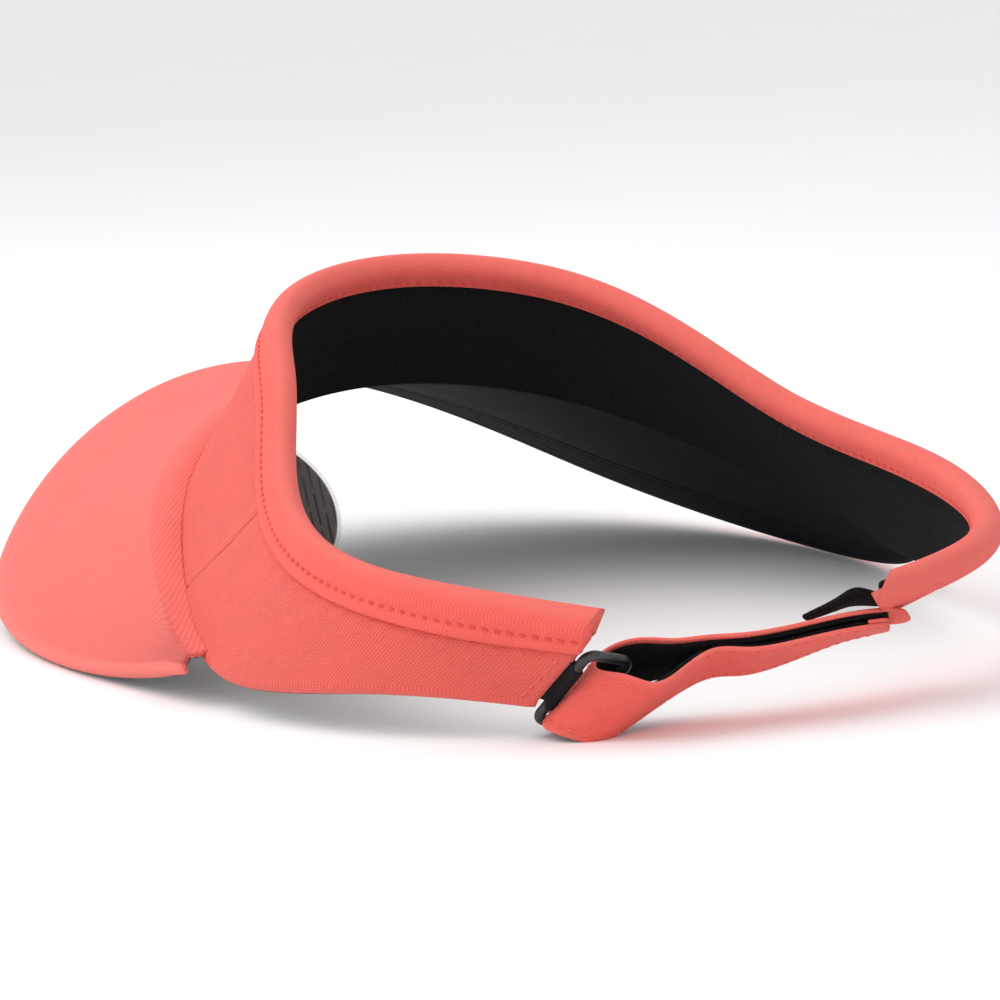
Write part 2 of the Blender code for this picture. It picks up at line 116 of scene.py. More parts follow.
class Strip:  # ruled strip between an upper and a lower edge
    def __init__(self, upper, lower):
        self.upper = np.asarray(upper, float)
        self.lower = np.asarray(lower, float)

    def rise(self, station):
        return curveThrough(self.upper, station) - curveThrough(self.lower, station)

    def width(self, station):
        return np.linalg.norm(self.rise(station), axis=-1)

    def middle(self, station, height):
        low = curveThrough(self.lower, station)
        return low + np.asarray(height)[..., None] * self.rise(station)

    def normal(self, station, height):
        along = self.middle(station + 0.02, height) - self.middle(station - 0.02, height)
        return unit(np.cross(self.rise(station), along))

    def point(self, station, height, offset=0.0):
        station, height = np.broadcast_arrays(np.asarray(station, float), np.asarray(height, float))
        offset = np.broadcast_to(np.asarray(offset, float), station.shape)
        return self.middle(station, height) + offset[..., None] * self.normal(station, height)

    def stations(self, first, last, step, height=0.5):  # evenly spaced in mm
        fine = np.linspace(first, last, 600)
        line = self.point(fine, height)
        run = np.concatenate([[0], np.cumsum(np.linalg.norm(np.diff(line, axis=0), axis=1))])
        count = max(3, int(round(run[-1] / step)) + 1)
        return np.interp(np.linspace(0, run[-1], count), run, fine)


def roundHead(angle, radius, height):
    a = math.radians(angle)
    return (radius * math.sin(a), -radius * math.cos(a), height)


# angle, radius and height of the upper edge, then of the lower edge,
# from the ring's end over the front to the strap's end
bandRows = (
    (153.0, 91.5, 17.5, 147.5, 86.5, 0.5), (125.0, 79.0, 19.6, 125.0, 86.5, 1.2),
    (100.0, 68.5, 23.5, 100.0, 85.0, -3.0), (75.0, 61.0, 31.5, 75.0, 80.5, 1.8),
    (50.0, 62.5, 43.5, 50.0, 84.8, 11.2), (25.0, 77.5, 53.2, 25.0, 96.0, 22.6),
    (0.0, 86.5, 56.5, 0.0, 101.8, 27.7), (-25.0, 77.5, 52.6, -25.0, 96.7, 23.0),
    (-50.0, 64.0, 42.0, -50.0, 87.0, 11.8), (-75.0, 61.0, 30.7, -75.0, 80.0, 3.4),
    (-100.0, 66.5, 25.5, -100.0, 75.5, 0.3), (-125.0, 77.0, 23.3, -119.0, 78.3, 6.0),
    (-150.0, 90.5, 20.8, -142.5, 80.4, 11.8), (-171.5, 92.0, 18.0, -163.5, 82.5, 11.4),
)
band = Strip([roundHead(*r[:3]) for r in bandRows], [roundHead(*r[3:]) for r in bandRows])
bandEnd = len(bandRows) - 1
bandHalf = 1.8  # half of the band's whole thickness


# mesh helpers
def ripple(points, size, seed):  # smooth noise from -1 to 1 at each point, size is the wave length in mm
    flat = points.reshape(-1, 3) / size + seed
    return np.array([noise.noise(Vector(p)) for p in flat]).reshape(points.shape[:-1])


def gridNormals(grid, toward):
    n = unit(np.cross(np.gradient(grid, axis=0), np.gradient(grid, axis=1)) + 1e-12)
    return n if np.sum(n * toward) > 0 else -n


def newPiece(name, points, faces, material, weave, rub):
    data = bpy.data.meshes.new(name)
    data.from_pydata(onTable(points).tolist(), [], faces)
    data.materials.append(material)
    carried = (("weave", "FLOAT_VECTOR", "vector", weave), ("rub", "FLOAT", "value", rub))
    for key, kind, field, values in carried:
        attribute = data.attributes.new(key, kind, "POINT")
        attribute.data.foreach_set(field, values.astype(np.float32).ravel())
    body = bmesh.new()
    body.from_mesh(data)
    bmesh.ops.recalc_face_normals(body, faces=body.faces)
    body.to_mesh(data)
    body.free()
    data.shade_smooth()
    piece = bpy.data.objects.new(name, data)
    bpy.context.scene.collection.objects.link(piece)
    return piece


def runLengths(grid):  # mm along and across a grid, for the weave
    u, v = np.zeros(grid.shape[:2]), np.zeros(grid.shape[:2])
    u[:, 1:] = np.cumsum(np.linalg.norm(np.diff(grid, axis=1), axis=-1), axis=1)
    v[1:] = np.cumsum(np.linalg.norm(np.diff(grid, axis=0), axis=-1), axis=0)
    middle = u.shape[1] // 2
    return u - u[:, middle:middle + 1], v


def closedSheet(name, outer, inner, material, rub=None):
    rows, cols = outer.shape[:2]
    u, v = runLengths(outer)
    weave = np.stack([u, v, np.zeros_like(u)], -1)
    rub = np.zeros((rows, cols)) if rub is None else rub
    index = np.arange(rows * cols).reshape(rows, cols)
    a, b = index[:-1, :-1].ravel(), index[:-1, 1:].ravel()
    c, d = index[1:, 1:].ravel(), index[1:, :-1].ravel()
    far = rows * cols
    faces = np.concatenate([np.stack([a, b, c, d], 1), np.stack([d, c, b, a], 1) + far]).tolist()
    rim = np.concatenate([index[0, :], index[1:, -1], index[-1, -2::-1], index[-2:0:-1, 0]])
    ahead = np.roll(rim, -1)
    faces += np.stack([ahead, rim, rim + far, ahead + far], 1).tolist()
    points = np.concatenate([outer.reshape(-1, 3), inner.reshape(-1, 3)])
    weave = np.concatenate([weave.reshape(-1, 3)] * 2)
    return newPiece(name, points, faces, material, weave, np.concatenate([rub.ravel()] * 2))


def roundEdge(distance, radius):  # 0 at the edge, 1 from radius inwards, along a quarter circle
    t = np.clip(distance / radius, 0, 1)
    return np.sqrt(1 - (1 - t) ** 2)


def edgeSpaced(count, length, radius):  # 0 to 1, closer together near both ends
    bend = radius * (1 - np.cos(np.linspace(0, math.pi / 2, 5)))[:-1] / length
    flat = np.linspace(radius / length, 1 - radius / length, count)
    return np.concatenate([bend, flat, 1 - bend[::-1]])


tape = {"thinEdge": 0.12, "fuzzSize": 0.9, "rubReach": 1.2}


def flatTape(name, strip, first, last, step, low, high, offset, thick, material,
             fuzz=0.0, across=12, corner=0.0, rootCorner=0.0):
    stations = strip.stations(first, last, step)
    length = step * (len(stations) - 1)
    ends = edgeSpaced(len(stations), length, thick / 2)
    stations = np.interp(ends, np.linspace(0, 1, len(stations)), stations)
    wide = float(np.mean(strip.width(stations))) * (high - low)
    heights = low + (high - low) * edgeSpaced(across, wide, thick / 2)
    station, height = np.meshgrid(stations, heights)
    if corner:  # the far end's two corners are cut round
        draw = corner / wide * (1 - roundEdge((1 - ends) * length, corner))
        height = height + (0.5 - height) * 2 * draw[None, :]
    if rootCorner:
        draw = rootCorner / wide * (1 - roundEdge(ends * length, rootCorner))
        height = height + (0.5 - height) * 2 * draw[None, :]
    fromEdge = np.minimum(height - low, high - height) * wide / (high - low)
    fromEnd = np.minimum(ends, 1 - ends)[None, :] * length
    rounded = roundEdge(fromEdge, thick / 2) * roundEdge(fromEnd, thick / 2)
    half = thick / 2 * np.maximum(tape["thinEdge"], rounded)
    outer = strip.point(station, height, offset + half)
    inner = strip.point(station, height, offset - half)
    if fuzz:
        n = gridNormals(outer, strip.normal(station, height))
        outer = outer + n * (fuzz * ripple(outer, tape["fuzzSize"], 3.1))[..., None]
        inner = inner + n * (fuzz * ripple(inner, tape["fuzzSize"], 7.7))[..., None]
    rub = 1 - np.clip(fromEdge / tape["rubReach"], 0, 1)
    return closedSheet(name, outer, inner, material, rub)


threads = {}
stitch = {"rings": 7, "around": 6, "flat": 1.25, "taper": 0.75, "dip": 0.30}


def sew(group, line, normals, pitch=2.5, length=1.75, radius=0.19, lift=0.08, start=0.6):
    run = np.concatenate([[0], np.cumsum(np.linalg.norm(np.diff(line, axis=0), axis=1))])

    def read(values, at):
        return np.array([np.interp(at, run, values[:, i]) for i in range(3)])

    for centre in np.arange(start + pitch / 2, run[-1] - pitch / 2, pitch):
        rings = []
        for t in np.linspace(-1, 1, stitch["rings"]):
            at = centre + t * length / 2
            up = unit(read(normals, at))
            side = unit(np.cross(unit(read(line, at + 0.2) - read(line, at - 0.2)), up))
            fat = radius * (1 - stitch["taper"] * abs(t) ** 4)
            middle = read(line, at) + up * (lift - stitch["dip"] * abs(t) ** 3)
            rings.append([middle + up * (fat * math.sin(a)) + side * (fat * stitch["flat"] * math.cos(a))
                          for a in np.linspace(0, 2 * math.pi, stitch["around"], endpoint=False)])
        threads.setdefault(group, []).append((np.array(rings), centre))


def finishThreads(group, name, material, body):
    points, faces, weave = [], [], []
    rings, around = stitch["rings"], stitch["around"]
    for ring, centre in threads[group]:
        base = len(points)
        for k in range(rings):
            for j in range(around):
                points.append(ring[k, j])
                weave.append((centre + k * 0.3, j * 0.3, 0))
        for k in range(rings - 1):
            for j in range(around):
                here, beside = base + k * around + j, base + k * around + (j + 1) % around
                faces.append((here, beside, beside + around, here + around))
        faces.append(tuple(base + j for j in range(around)))
        faces.append(tuple(base + (rings - 1) * around + j for j in reversed(range(around))))
    piece = newPiece(name, np.array(points), faces, material, np.array(weave), np.zeros(len(points)))
    if body:
        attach(piece, body)


# cloths and finishes
class Nodes:  # a small hand for building node trees
    def __init__(self, name, roughness=0.8, **sockets):
        self.material = bpy.data.materials.new(name)
        self.material.use_nodes = True
        self.tree = self.material.node_tree
        self.shader = self.tree.nodes["Principled BSDF"]
        self.shader.inputs["Roughness"].default_value = roughness
        for key, value in sockets.items():
            self.shader.inputs[key.replace("_", " ")].default_value = value

    def add(self, kind, **settings):
        node = self.tree.nodes.new(kind)
        for key, value in settings.items():
            setattr(node, key, value)
        return node

    def join(self, out, into):
        self.tree.links.new(out, into)

    def coords(self, scale=(1, 1, 1), turn=0.0):
        attribute = self.add("ShaderNodeAttribute", attribute_name="weave")
        mapping = self.add("ShaderNodeMapping")
        mapping.inputs["Scale"].default_value = scale
        mapping.inputs["Rotation"].default_value = (0, 0, math.radians(turn))
        self.join(attribute.outputs["Vector"], mapping.inputs["Vector"])
        return mapping.outputs["Vector"]

    def rubbed(self):
        return self.add("ShaderNodeAttribute", attribute_name="rub").outputs["Fac"]

    def ribs(self, pitch, turn=0.0, distortion=0.6, profile="SIN"):
        wave = self.add("ShaderNodeTexWave", wave_type="BANDS", bands_direction="X", wave_profile=profile)
        wave.inputs["Scale"].default_value = 0.314 / pitch
        wave.inputs["Distortion"].default_value = distortion
        wave.inputs["Detail"].default_value = 1.0
        wave.inputs["Detail Scale"].default_value = 1.5
        self.join(self.coords(turn=turn), wave.inputs["Vector"])
        return wave.outputs["Fac"]

    def grain(self, size, detail=3.0, vector=None):
        tex = self.add("ShaderNodeTexNoise")
        tex.inputs["Scale"].default_value = 1.0 / size
        tex.inputs["Detail"].default_value = detail
        self.join(vector or self.coords(), tex.inputs["Vector"])
        return tex.outputs["Fac"]

    def math(self, operation, a, b):
        node = self.add("ShaderNodeMath", operation=operation)
        for socket, value in zip(node.inputs, (a, b)):
            if isinstance(value, (int, float)):
                socket.default_value = value
            else:
                self.join(value, socket)
        return node.outputs[0]

    def between(self, factor, low, high):
        node = self.add("ShaderNodeMapRange")
        node.inputs["To Min"].default_value = low
        node.inputs["To Max"].default_value = high
        self.join(factor, node.inputs["Value"])
        return node.outputs[0]

    def ramp(self, factor, stops):
        node = self.add("ShaderNodeValToRGB")
        for element, (at, colour) in zip(node.color_ramp.elements, (stops[0], stops[-1])):
            element.position, element.color = at, (*colour, 1)
        for at, colour in stops[1:-1]:
            node.color_ramp.elements.new(at).color = (*colour, 1)
        self.join(factor, node.inputs["Fac"])
        return node.outputs["Color"]

    def mix(self, factor, a, b, kind="MIX"):
        node = self.add("ShaderNodeMix", data_type="RGBA", blend_type=kind)
        for socket, value in ((node.inputs[0], factor), (node.inputs[6], a), (node.inputs[7], b)):
            if isinstance(value, (int, float)):
                socket.default_value = value
            elif isinstance(value, tuple):
                socket.default_value = (*value, 1)
            else:
                self.join(value, socket)
        return node.outputs[2]

    def bump(self, height, depth, strength=1.0):
        node = self.add("ShaderNodeBump")
        node.inputs["Distance"].default_value = depth
        node.inputs["Strength"].default_value = strength
        self.join(height, node.inputs["Height"])
        self.join(node.outputs["Normal"], self.shader.inputs["Normal"])

    def colour(self, out):
        self.join(out, self.shader.inputs["Base Color"])

    def rough(self, out):
        self.join(out, self.shader.inputs["Roughness"])


def shade(colour, by):
    return tuple(min(1.0, c * by) for c in colour)


def ribCloth(name, colour, rib, turn, cross, depth, sheen=0.12):
    n = Nodes(name, 0.8, Sheen_Weight=sheen, Sheen_Roughness=0.5, Specular_IOR_Level=0.22)
    ribs = n.ribs(rib, turn, 0.5)
    rows = n.ribs(cross, turn + 90, 0.8)
    knit = n.math("ADD", n.math("MULTIPLY", ribs, 0.7), n.math("MULTIPLY", rows, 0.3))
    fibre = n.grain(0.18, 2.0)
    patch = n.grain(14.0, 3.0)
    tone = n.ramp(n.math("ADD", n.math("MULTIPLY", patch, 0.55), n.math("MULTIPLY", n.grain(2.2, 3.0), 0.45)),
                  ((0.30, shade(colour, 0.90)), (0.52, colour), (0.72, shade(colour, 1.07))))
    # the valleys between the ribs are painted darker (toward 0.56 of the colour): painted shade in the rib
    # valleys
    tone = n.mix(n.between(knit, 0.46, 0.0), tone, shade(colour, 0.56))
    tone = n.mix(n.between(fibre, 0.0, 0.10), tone, (0.98, 0.42, 0.36))
    tone = n.mix(n.math("MULTIPLY", n.rubbed(), 0.14), tone, (1.0, 0.40, 0.34))
    n.colour(tone)
    worn = n.math("ADD", n.math("MULTIPLY", fibre, 0.5), n.math("MULTIPLY", patch, 0.5))
    n.rough(n.between(worn, 0.70, 0.92))
    n.bump(n.math("ADD", knit, n.math("MULTIPLY", fibre, 0.5)), depth, 0.8)
    return n.material


def darkMesh(name, colour, hole, depth):
    n = Nodes(name, 0.9, Specular_IOR_Level=0.12)
    cells = n.add("ShaderNodeTexVoronoi", feature="F1")
    cells.inputs["Scale"].default_value = 1.0 / hole
    cells.inputs["Randomness"].default_value = 0.22
    n.join(n.coords((1.0, 1.5, 1.0), 0), cells.inputs["Vector"])
    holes = cells.outputs["Distance"]
    patch = n.grain(9.0, 3.0)
    # the holes are painted darker than the strands around them (a quarter of the colour): painted shade
    # inside the mesh holes
    tone = n.ramp(holes, ((0.12, shade(colour, 0.25)), (0.34, colour), (0.62, shade(colour, 2.1))))
    tone = n.mix(n.between(patch, 0.0, 0.35), tone, shade(colour, 1.9))
    n.colour(tone)
    n.rough(n.between(patch, 0.72, 0.95))
    n.bump(n.math("ADD", holes, n.math("MULTIPLY", n.grain(0.2, 2.0), 0.3)), depth, 1.0)
    return n.material


def smoothCloth(name, colour, pitch, depth, roughness=0.8, sheen=0.0):
    n = Nodes(name, roughness, Sheen_Weight=sheen, Sheen_Roughness=0.45, Specular_IOR_Level=0.15)
    weave = n.math("ADD", n.ribs(pitch, 0, 0.3), n.ribs(pitch, 90, 0.3))
    patch = n.grain(11.0, 4.0)
    tone = n.ramp(patch, ((0.3, shade(colour, 0.8)), (0.55, colour), (0.75, shade(colour, 1.3))))
    # the valleys of the weave are painted darker (toward half the colour): painted shade between the threads
    tone = n.mix(n.between(weave, 0.25, 0.0), tone, shade(colour, 0.5))
    tone = n.mix(n.math("MULTIPLY", n.rubbed(), 0.25), tone, shade(colour, 2.2))
    n.colour(tone)
    n.rough(n.between(patch, roughness - 0.08, roughness + 0.1))
    n.bump(n.math("ADD", weave, n.grain(0.25, 2.0)), depth, 0.7)
    return n.material


def pileCloth(name, colour):
    n = Nodes(name, 0.95, Sheen_Weight=0.03, Sheen_Roughness=0.6, Specular_IOR_Level=0.05)
    tuft = n.grain(0.35, 5.0)
    patch = n.grain(4.0, 3.0)
    n.colour(n.ramp(n.math("ADD", n.math("MULTIPLY", tuft, 0.6), n.math("MULTIPLY", patch, 0.4)),
                    ((0.3, shade(colour, 0.3)), (0.55, colour), (0.8, shade(colour, 2.6)))))
    n.rough(n.between(patch, 0.86, 0.98))
    n.bump(tuft, 0.0006, 1.0)
    return n.material


def threadCloth(name, colour, shine=0.3):
    n = Nodes(name, 0.65, Specular_IOR_Level=shine)
    twist = n.ribs(0.35, 35, 0.2)
    n.colour(n.ramp(n.math("ADD", n.math("MULTIPLY", twist, 0.6), n.math("MULTIPLY", n.grain(3.0), 0.4)),
                    ((0.2, shade(colour, 0.75)), (0.55, colour), (0.9, shade(colour, 1.15)))))
    n.rough(n.between(twist, 0.5, 0.75))
    n.bump(twist, 0.00008, 0.8)
    return n.material


def objectGrain(n, size, detail=4.0):  # noise for pieces that carry no weave, in metres of the object
    coord = n.add("ShaderNodeTexCoord").outputs["Object"]
    return n.grain(size, detail, coord)


def darkMetal(name):
    n = Nodes(name, 0.42, Metallic=0.55, Coat_Weight=0.25, Coat_Roughness=0.3)
    fine, patch = objectGrain(n, 0.0004, 3), objectGrain(n, 0.004, 4)
    tone = n.ramp(patch, ((0.3, (0.020, 0.021, 0.023)), (0.55, (0.034, 0.036, 0.039)),
                          (0.78, (0.075, 0.078, 0.082))))
    n.colour(n.mix(n.between(fine, 0.0, 0.25), tone, (0.10, 0.10, 0.105)))
    n.rough(n.between(fine, 0.30, 0.52))
    n.bump(fine, 0.00004, 0.6)
    return n.material


def plainInner(name, dark, light, size, roughness):
    n = Nodes(name, roughness)
    fine = objectGrain(n, size, 5)
    n.colour(n.ramp(fine, ((0.3, dark), (0.7, light))))
    n.rough(n.between(fine, roughness - 0.12, min(1.0, roughness + 0.08)))
    n.bump(fine, size * 0.3, 0.6)
    return n.material


coral = (0.905, 0.118, 0.094)
coralKnit = ribCloth("coralKnit", coral, 0.80, 0, 0.55, 0.00034, 0.08)
# the brim's coral is painted lighter than coralKnit's (0.925, 0.138, 0.112 against 0.905, 0.118, 0.094):
# painted light, a lit copy of the same cloth for the brim that faces the light
coralBrimLitCopy = ribCloth("coralBrimLitCopy", (0.925, 0.138, 0.112), 0.80, 76, 0.55, 0.00014, 0.14)
coralTape = ribCloth("coralTape", (0.915, 0.116, 0.092), 0.62, 38, 0.62, 0.00012, 0.06)
coralStrap = ribCloth("coralStrap", (0.91, 0.116, 0.092), 0.60, 10, 0.40, 0.00012, 0.06)
coralThread = threadCloth("coralThread", (0.93, 0.16, 0.125))
bindingThread = threadCloth("bindingThread", (0.80, 0.085, 0.065))
liningMesh = darkMesh("liningMesh", (0.0062, 0.0064, 0.0070), 0.85, 0.00035)
tongueMesh = darkMesh("tongueMesh", (0.007, 0.007, 0.008), 0.9, 0.00030)
slateCloth = smoothCloth("slateCloth", (0.0105, 0.0140, 0.0172), 0.34, 0.00008)
blackPile = pileCloth("blackPile", (0.007, 0.007, 0.0075))
blackTape = smoothCloth("blackTape", (0.012, 0.012, 0.013), 0.45, 0.00012, 0.8)
darkThread = threadCloth("darkThread", (0.009, 0.012, 0.014), 0.08)
ringFinish = darkMetal("ringFinish")
foamInner = plainInner("foamInner", (0.24, 0.24, 0.25), (0.38, 0.38, 0.39), 0.0006, 0.9)
boardInner = plainInner("boardInner", (0.62, 0.10, 0.08), (0.74, 0.14, 0.11), 0.002, 0.6)
print("cloths and finishes made")


# band: outer panels and lining
panels = {"rowStep": 1.0, "columnStep": 1.05, "cloth": 0.75, "groove": 0.85, "grooveWide": 1.3,
          "wave": 0.22, "waveSize": 26.0, "pucker": 0.16, "puckerSize": 5.5,
          "tapeReach": 6.0, "hidden": -0.012, "rollRows": 7, "faceHeight": 34, "rollBase": 1.6,
          "endThin": 0.25}
seamLow, seamHigh, endLow, endHigh = 3.18, 2.62, 0.06, -0.08


def bandRowsFor(step):  # a rolled lower edge, then up the face: base mm, share of the rest, roundness
    rolled, above = panels["rollRows"], int(panels["faceHeight"] / step)
    arc = np.radians(np.linspace(-90, 0, rolled))
    base = panels["rollBase"] + np.concatenate([bandHalf * np.sin(arc), np.zeros(above)])
    share = np.concatenate([np.zeros(rolled), np.linspace(0, 1, above + 1)[1:]])
    full = np.concatenate([np.cos(arc), np.ones(above)])
    return base, share, full


def bandFace(left, right, side, endLeft, endRight, seamLeft, seamRight, wave, seed):
    base, share, full = bandRowsFor(panels["rowStep"])
    lefts = left[0] + (left[1] - left[0]) * share
    if endLeft:
        lefts = np.maximum(lefts, panels["hidden"])  # the end stays under the binding
    rights = right[0] + (right[1] - right[0]) * share
    spaced = band.stations(left[0], right[0], panels["columnStep"], 0.3)
    u = (spaced - spaced[0]) / (spaced[-1] - spaced[0])
    length = panels["columnStep"] * (len(u) - 1)
    edge = np.array([0.05, 0.25, 0.55, 0.95, 1.4, 2.0]) / length
    u = np.unique(np.concatenate([[0], edge, u[(u > 2.4 / length) & (u < 1 - 2.4 / length)], 1 - edge, [1]]))
    station = lefts[:, None] + u[None] * (rights - lefts)[:, None]
    wide = band.width(station)
    height = (base[:, None] + share[:, None] * (wide - 2.0)) / wide
    flat = band.point(station, height)
    run = runLengths(flat)[0]
    fromLeft, fromRight = run - run[:, :1], run[:, -1:] - run
    off = bandHalf * full[:, None] * np.ones_like(run)
    if endLeft:
        off *= np.maximum(panels["endThin"], roundEdge(fromLeft, bandHalf))
    if endRight:
        off *= np.maximum(panels["endThin"], roundEdge(fromRight, bandHalf))
    for here, distance in ((seamLeft, fromLeft), (seamRight, fromRight)):
        if here:
            off -= panels["groove"] * (1 - roundEdge(distance, panels["grooveWide"])) * full[:, None]
    below = (1 - height) * wide - panels["tapeReach"]  # mm under the tape's edge
    off += wave * full[:, None] * ripple(flat, panels["waveSize"], seed) * np.clip(below / 6, 0, 1)
    creases = np.sin(run / panels["puckerSize"] * 2 * math.pi + 2.5 * ripple(flat, 11, seed + 5))
    off += panels["pucker"] * creases * np.exp(-np.clip(below, 0, 40) / 3.0) * full[:, None] * (wave > 0.1)
    off -= 0.3 * np.exp(-(below / 1.2) ** 2) * full[:, None]
    outer = band.point(station, height, side * off)
    normals = gridNormals(outer, side * band.normal(station, height))
    inner = outer - normals * panels["cloth"]
    rub = np.maximum(1 - full[:, None] * np.ones_like(run), np.exp(-np.minimum(fromLeft, fromRight) / 1.2))
    return outer, inner, rub


def makeBand():
    gap, mirror = 0.004, bandEnd - 1
    leftSeam, rightSeam = np.array((seamLow, seamHigh)), mirror - np.array((seamLow, seamHigh))
    for name, node, left, right, ends, seams, seed in (
        ("leftSidePanel", "left_side_panel", (endLow, endHigh), leftSeam - gap, (1, 0), (0, 1), 1.3),
        ("frontPanel", "front_panel", leftSeam + gap, rightSeam - gap, (0, 0), (1, 1), 4.1),
        ("rightSidePanel", "right_side_panel", rightSeam + gap, (bandEnd, bandEnd), (0, 1), (1, 0), 9.2),
    ):
        outer, inner, rub = bandFace(left, right, 1, *ends, *seams, panels["wave"], seed)
        piece = closedSheet(name, outer, inner, coralKnit, rub)
        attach(piece, "band")
        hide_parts(node)
    start = (endLow + 0.02, endHigh + 0.09)
    outer, inner, rub = bandFace(start, (bandEnd, bandEnd), -1, 1, 1, 0, 0, 0.10, 6.6)
    lining = closedSheet("bandLining", outer, inner, liningMesh, rub * 0.3)
    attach(lining, "band")
    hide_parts("sweatband")


makeBand()
print("band panels and lining made")


# binding rolled over the upper edge
binding = {
    "step": 0.8, "cloth": 0.7, "stitch": 2.5, "pinch": 0.16, "swell": 0.035,
    "fold": ((1.75, -5.9), (2.35, -6.25), (2.75, -5.7), (2.85, -4.8), (2.62, -3.7), (2.95, -2.4),
             (3.12, -1.0), (2.95, 0.8), (2.10, 2.25), (0.75, 3.05), (-0.75, 3.05), (-2.10, 2.25),
             (-2.95, 0.8), (-3.05, -0.8), (-2.85, -2.2), (-2.80, -3.2), (-2.35, -3.65), (-1.75, -3.4)),
    "foldPoints": 46, "outStitch": (2.62, -3.7), "inStitch": (-2.88, -2.2),
    "leanStart": 0.02, "stopIn": -0.13, "stopOut": 0.06, "cap": (0.72, 0.42, 0.16, 0.03),
}


def makeBinding():
    stations = band.stations(-0.015, bandEnd, binding["step"], 1.0)
    fold = curveThrough(binding["fold"], np.linspace(0, len(binding["fold"]) - 1, binding["foldPoints"]))
    edge = band.point(stations, np.ones_like(stations))
    run = np.concatenate([[0], np.cumsum(np.linalg.norm(np.diff(edge, axis=0), axis=1))])
    total = run[-1]
    grip = 0.5 + 0.5 * np.cos(2 * math.pi * (run - 0.6) / binding["stitch"])  # pulled in between stitches
    swell = 1 + binding["swell"] * np.array([noise.noise(Vector((r / 16.0, 0.3, 0.7))) for r in run])

    middle = (binding["stopOut"] + binding["stopIn"]) / 2
    swing = (binding["stopOut"] - binding["stopIn"]) / 2

    def bindingFrame(across, lift):  # the cut ends lean: the outer leg starts and the inner leg stops sooner
        lean = binding["leanStart"] * min(0.0, lift) / 6 * np.exp(-run / 7)
        stop = (middle + swing * max(-1.0, min(1.0, across / 2.8))) * np.exp(-(total - run) / 6)
        at = stations + lean + np.where(run > total / 2, stop, 0)
        return band.point(at, np.ones_like(at)), band.normal(at, np.ones_like(at)), unit(band.rise(at))

    grids = []
    for depth in (0.0, binding["cloth"]):
        rows = []
        for a, l in fold:
            high, out, up = bindingFrame(a, l)
            if a > 0:
                nearStitch = math.exp(-((l + 3.7) / 0.7) ** 2)
            else:
                nearStitch = 0.6 * math.exp(-((l + 2.3) / 0.6) ** 2)
            reach = np.hypot(a, max(l, 0.0))
            keep = (reach - depth) / reach
            across = a * keep * swell - math.copysign(binding["pinch"], a) * nearStitch * grip
            lift = (l * keep if l > 0 else l) * np.ones_like(run)
            row = high + out * across[:, None] + up * lift[:, None]
            ends = []
            for k, ahead in ((0, 1), (-1, -2)):  # the turned-in cloth that closes each end
                inward = unit(high[ahead] - high[k]) * depth
                centre = high[k] + up[k] * lift[k] * 0.55 + inward
                ends.append([centre + (row[k] + inward - centre) * share for share in binding["cap"]])
            rows.append(np.concatenate([ends[0][::-1], row, ends[1]]))
        grids.append(np.array(rows))
    rub = np.exp(-((fold[:, 1] - 2.6) / 1.6) ** 2)[:, None] * np.ones(grids[0].shape[1])[None]
    piece = closedSheet("edgeBinding", grids[0], grids[1], coralTape, rub)
    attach(piece, "band")
    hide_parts("edge_binding")
    for (a, l), side in ((binding["outStitch"], 1), (binding["inStitch"], -1)):
        high, out, up = bindingFrame(a, l)
        sew("bindingCoral", high + out * a + up * l, side * out, binding["stitch"])


makeBinding()
print("binding made")


# brim
brim = {
    "edge": ((0.0, 177.8, 19.8), (28.7, 155.1, -5.4), (55.4, 115.3, -13.7), (78.4, 92.3, -8.4)),
    "temple": 95.6, "end": 91.6, "half": 1.9, "columns": 260, "rows": 70, "setback": 2.2, "climb": 2.6,
    "landing": 6, "creaseRows": 18, "crease": 1.6, "lift": 0.75, "swell": 0.6, "swellReach": 12.0,
    "blunt": 0.75, "past": 0.3, "wrap": 112, "underInset": 5, "topCloth": 0.6, "underCloth": 0.55,
    "rowsSewn": (0.955, 0.90, 0.845, 0.79, 0.735), "rollRows": 10, "endColumns": 10, "topWave": 0.16,
    "underWave": 0.12, "groove": 0.32, "grooveWide": 0.009, "hem": 0.98,
}


def brimEdge(side, angles):
    station = 6 - side * brim["temple"] / 25
    temple = band.point(np.array(station), np.array(0.0), brim["setback"] + brim["half"])
    knots = [r[0] for r in brim["edge"]] + [brim["temple"]]
    radii = [r[1] for r in brim["edge"]] + [float(np.hypot(temple[0], temple[1]))]
    heights = [r[2] for r in brim["edge"]] + [float(temple[2])]
    both = np.array([[-k for k in knots[:0:-1]] + knots, radii[:0:-1] + radii, heights[:0:-1] + heights]).T
    index = np.interp(angles, both[:, 0], range(len(both)))
    for _ in range(8):
        read = curveThrough(both, index)[:, 0]
        slope = curveThrough(both, index + 0.01)[:, 0] - read
        index = index - 0.01 * (read - angles) / slope
    read = curveThrough(both, index)
    turn = np.radians(angles)
    return np.stack([side * read[:, 1] * np.sin(turn), -read[:, 1] * np.cos(turn), read[:, 2]], -1)


def brimMiddle():
    angles = np.linspace(-brim["end"], brim["end"], brim["columns"])
    left, right = brimEdge(1, np.abs(angles)), brimEdge(-1, np.abs(angles))
    edge = np.where((angles > 0)[:, None], left, right)
    station = 6 - angles / 25
    tuck = band.point(station, np.zeros_like(station), 0.9)
    inner = band.point(station, np.zeros_like(station), brim["setback"] + 1.4)
    return tuck, inner, edge


def brimGrid():
    tuck, inner, edge = brimMiddle()
    across = np.concatenate([[-1.0], np.linspace(0, 1, brim["rows"])])
    grid = np.array([tuck if a < 0 else inner + a * (edge - inner) for a in across])
    along, out = np.gradient(grid, axis=1), np.gradient(grid, axis=0)
    normal = unit(np.cross(along, out))
    normal = normal * np.sign(normal[..., 2:3])
    normal[0] = normal[1]
    return grid, normal, np.maximum(across, 0)


